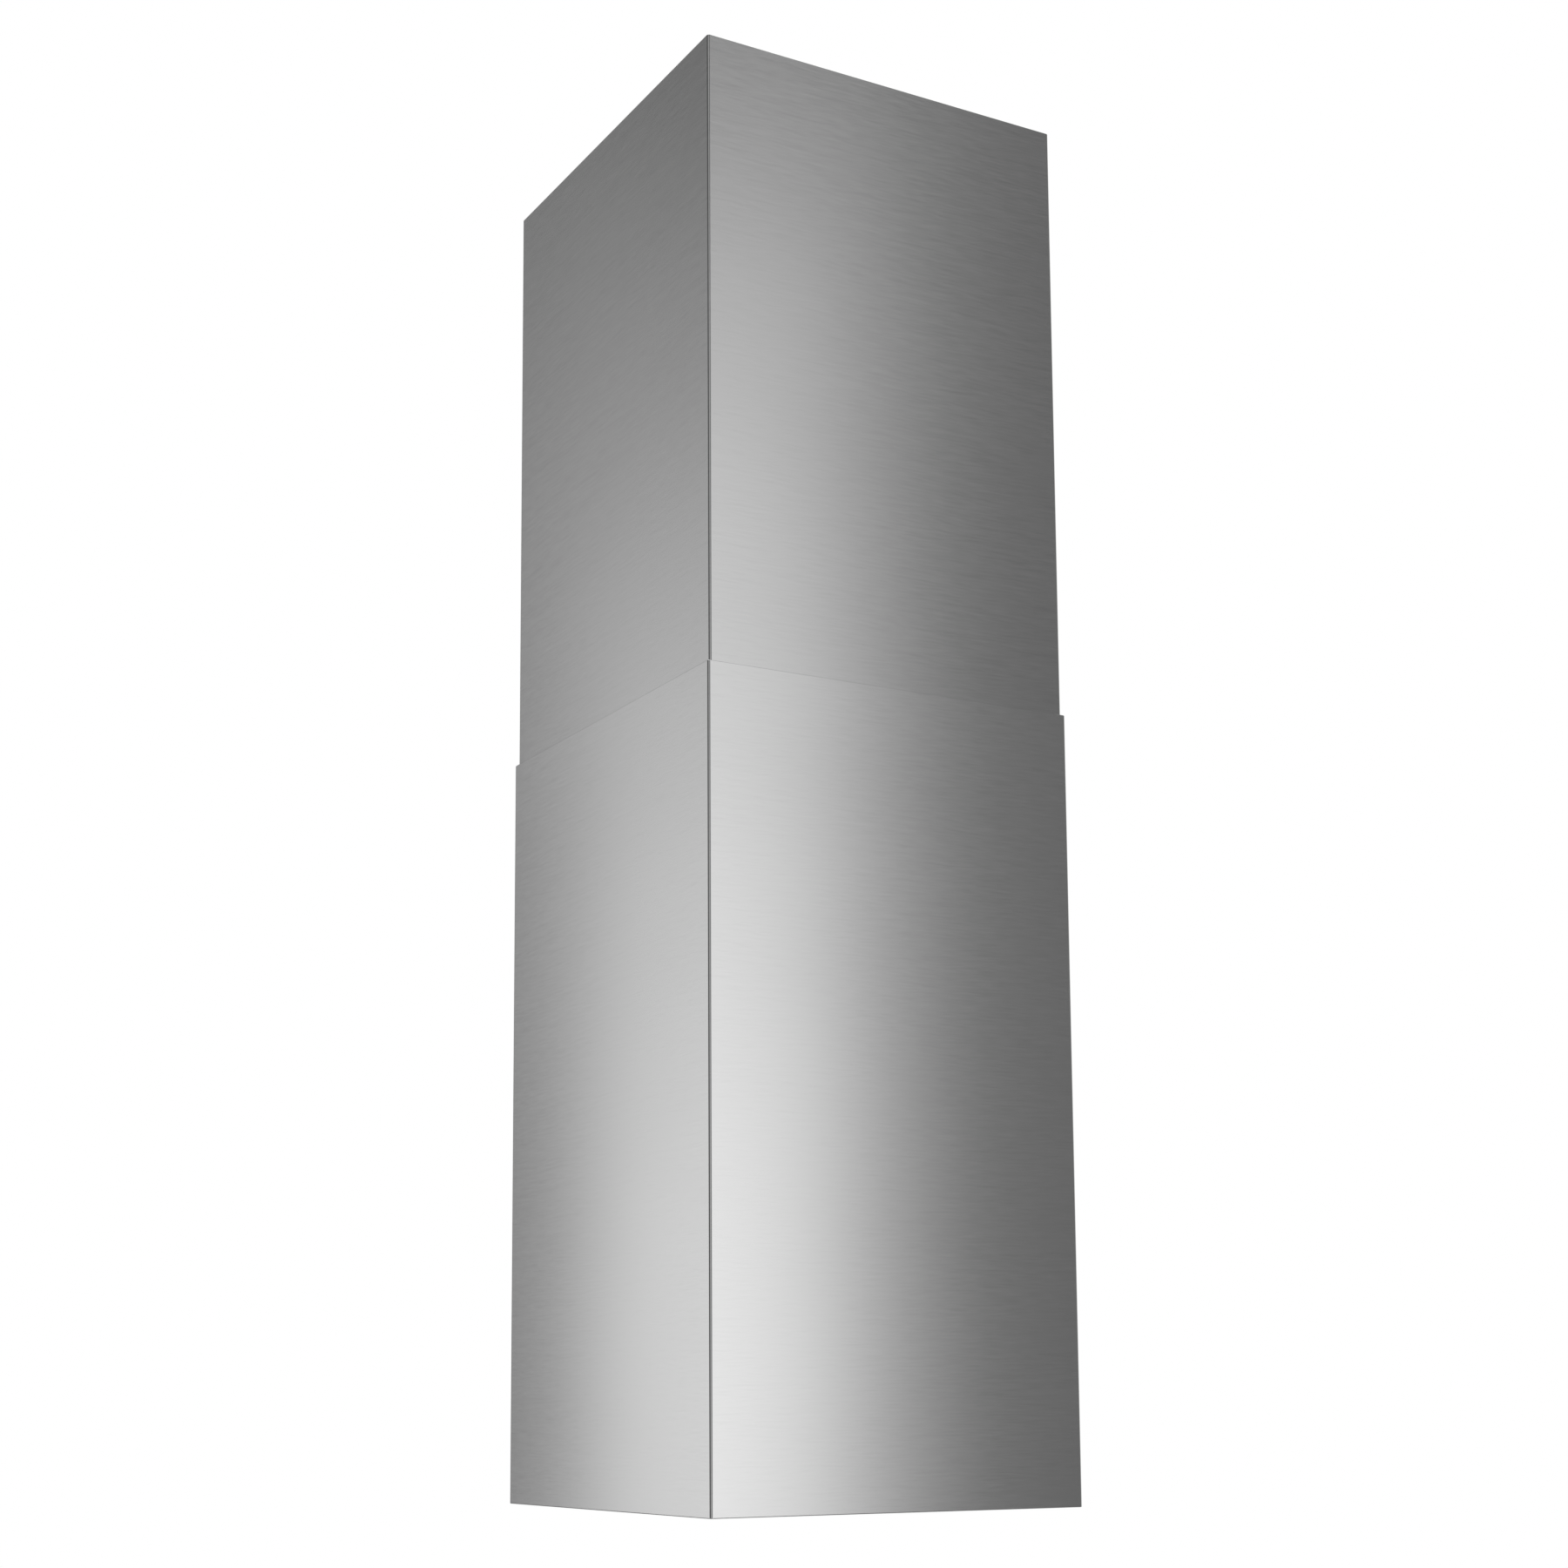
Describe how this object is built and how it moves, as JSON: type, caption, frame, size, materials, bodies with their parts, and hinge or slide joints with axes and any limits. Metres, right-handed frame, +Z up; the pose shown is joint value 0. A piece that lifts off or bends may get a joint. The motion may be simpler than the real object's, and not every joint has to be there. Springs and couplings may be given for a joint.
{
  "type": "island range hood",
  "caption": "Column-type island extractor hood: two telescoping square stainless covers hung from the ceiling, with blower, damper, filter, lamps and buttons.",
  "frame": {"origin": "centre of the ceiling plate's top face, where it meets the ceiling", "axes": "+Z up, -Y front, +X right when facing the front; the hood hangs below the origin"},
  "size_m": [0.3, 0.3308, 1.04],
  "materials": {
    "aluminium_flap": "rolled sheet",
    "aluminium_foil": "corrugated foil",
    "black_plastic": "moulded ABS, fine texture",
    "board": "solder-masked laminate",
    "button_cap": "satin metal-plated cap",
    "ferrite": "sintered ferrite",
    "filter_sheet": "bright rolled stainless steel",
    "frosted_lens": "frosted polycarbonate",
    "grey_plastic": "moulded polypropylene",
    "lower_sheet": "horizontally brushed stainless steel",
    "motor_paint": "black stoved paint",
    "rubber": "moulded rubber",
    "spring_steel": "hardened spring steel",
    "tray_sheet": "horizontally brushed stainless steel",
    "upper_sheet": "horizontally brushed stainless steel",
    "white_plastic": "moulded nylon",
    "zinc_screws": "zinc plated",
    "zinc_sheet": "hot-dip galvanised sheet"
  },
  "bodies": {
    "ceiling_frame": {"upper_post_front_left": "zinc_sheet", "upper_post_front_right": "zinc_sheet", "upper_post_rear_left": "zinc_sheet", "upper_post_rear_right": "zinc_sheet", "ceiling_plate": "zinc_sheet", "cover_clips": "spring_steel", "upper_braces": "zinc_sheet", "post_top_screws": "zinc_screws", "duct_collar": "zinc_sheet", "cable_grommet": "rubber", "duct_clamp_upper": "spring_steel", "flex_duct": "aluminium_foil"},
    "upper_cover": {"upper_cover_wrap": "upper_sheet", "upper_cover_rear_panel": "upper_sheet"},
    "wheel": {"impeller": "grey_plastic", "motor_shaft": "spring_steel"},
    "front_flap": {"damper_flap_front": "aluminium_flap"},
    "rear_flap": {"damper_flap_rear": "aluminium_flap"},
    "filter": {"filter_frame": "filter_sheet", "filter_baffles": "filter_sheet", "filter_pull": "filter_sheet"},
    "key_light": {"button_light": "button_cap"},
    "key_off": {"button_off": "button_cap"},
    "key_speed_1": {"button_speed_1": "button_cap"},
    "key_speed_2": {"button_speed_2": "button_cap"},
    "key_speed_3": {"button_speed_3": "button_cap"},
    "hood_unit": {"bottom_tray": "tray_sheet", "cable_gland": "grey_plastic", "chassis_body": "zinc_sheet", "chassis_screws": "zinc_screws", "chassis_top_plate": "zinc_sheet", "control_board": "board", "control_case": "black_plastic", "cover_brackets": "zinc_sheet", "damper_pin": "spring_steel", "duct_clamp_lower": "spring_steel", "filter_magnets": "ferrite", "frame_lock_screws": "zinc_screws", "glide_strips": "white_plastic", "lamp_boards": "board", "lamp_bodies": "spring_steel", "lamp_lenses": "frosted_lens", "lower_cover_rear_panel": "lower_sheet", "lower_cover_rivets": "zinc_screws", "lower_cover_wrap": "lower_sheet", "lower_post_front_left": "zinc_sheet", "lower_post_front_right": "zinc_sheet", "lower_post_rear_left": "zinc_sheet", "lower_post_rear_right": "zinc_sheet", "motor": "motor_paint", "motor_bracket": "motor_paint", "outlet_collar": "zinc_sheet", "power_board": "board", "power_box": "black_plastic", "power_box_lid": "black_plastic", "run_capacitor": "white_plastic", "scroll_left_half": "black_plastic", "scroll_right_half": "black_plastic", "tray_screws": "zinc_screws"}
  },
  "joints": [
    {"name": "height_adjust", "type": "slide", "parent": "ceiling_frame", "child": "hood_unit", "axis": [0, 0, 1], "range_m": [0, 0.15], "deforming": ["flex_duct"]},
    {"name": "upper_cover_slide", "type": "slide", "parent": "ceiling_frame", "child": "upper_cover", "axis": [0, 0, -1], "range_m": [0, 0.2]},
    {"name": "fan_spin", "type": "hinge", "parent": "hood_unit", "child": "wheel", "pos_m": [0, 0.042, -0.88], "axis": [1, 0, 0], "continuous": true},
    {"name": "damper_front_hinge", "type": "hinge", "parent": "hood_unit", "child": "front_flap", "pos_m": [0, 0, -0.6678], "axis": [-1, 0, 0], "range_deg": [0, 78]},
    {"name": "damper_rear_hinge", "type": "hinge", "parent": "hood_unit", "child": "rear_flap", "pos_m": [0, 0, -0.6678], "axis": [1, 0, 0], "range_deg": [0, 78]},
    {"name": "filter_hinge", "type": "hinge", "parent": "hood_unit", "child": "filter", "pos_m": [0, 0.145, -1.025], "axis": [1, 0, 0], "range_deg": [0, 85]},
    {"name": "press_light", "type": "slide", "parent": "hood_unit", "child": "key_light", "axis": [0, 0, 1], "range_m": [0, 0.0015], "stiffness_N_per_m": 900, "springref_m": -0.0004},
    {"name": "press_off", "type": "slide", "parent": "hood_unit", "child": "key_off", "axis": [0, 0, 1], "range_m": [0, 0.0015], "stiffness_N_per_m": 900, "springref_m": -0.0004},
    {"name": "press_speed_1", "type": "slide", "parent": "hood_unit", "child": "key_speed_1", "axis": [0, 0, 1], "range_m": [0, 0.0015], "stiffness_N_per_m": 900, "springref_m": -0.0004},
    {"name": "press_speed_2", "type": "slide", "parent": "hood_unit", "child": "key_speed_2", "axis": [0, 0, 1], "range_m": [0, 0.0015], "stiffness_N_per_m": 900, "springref_m": -0.0004},
    {"name": "press_speed_3", "type": "slide", "parent": "hood_unit", "child": "key_speed_3", "axis": [0, 0, 1], "range_m": [0, 0.0015], "stiffness_N_per_m": 900, "springref_m": -0.0004}
  ],
  "couplings": [
    {"joint": "damper_rear_hinge", "follows": "damper_front_hinge", "ratio": 1}
  ]
}
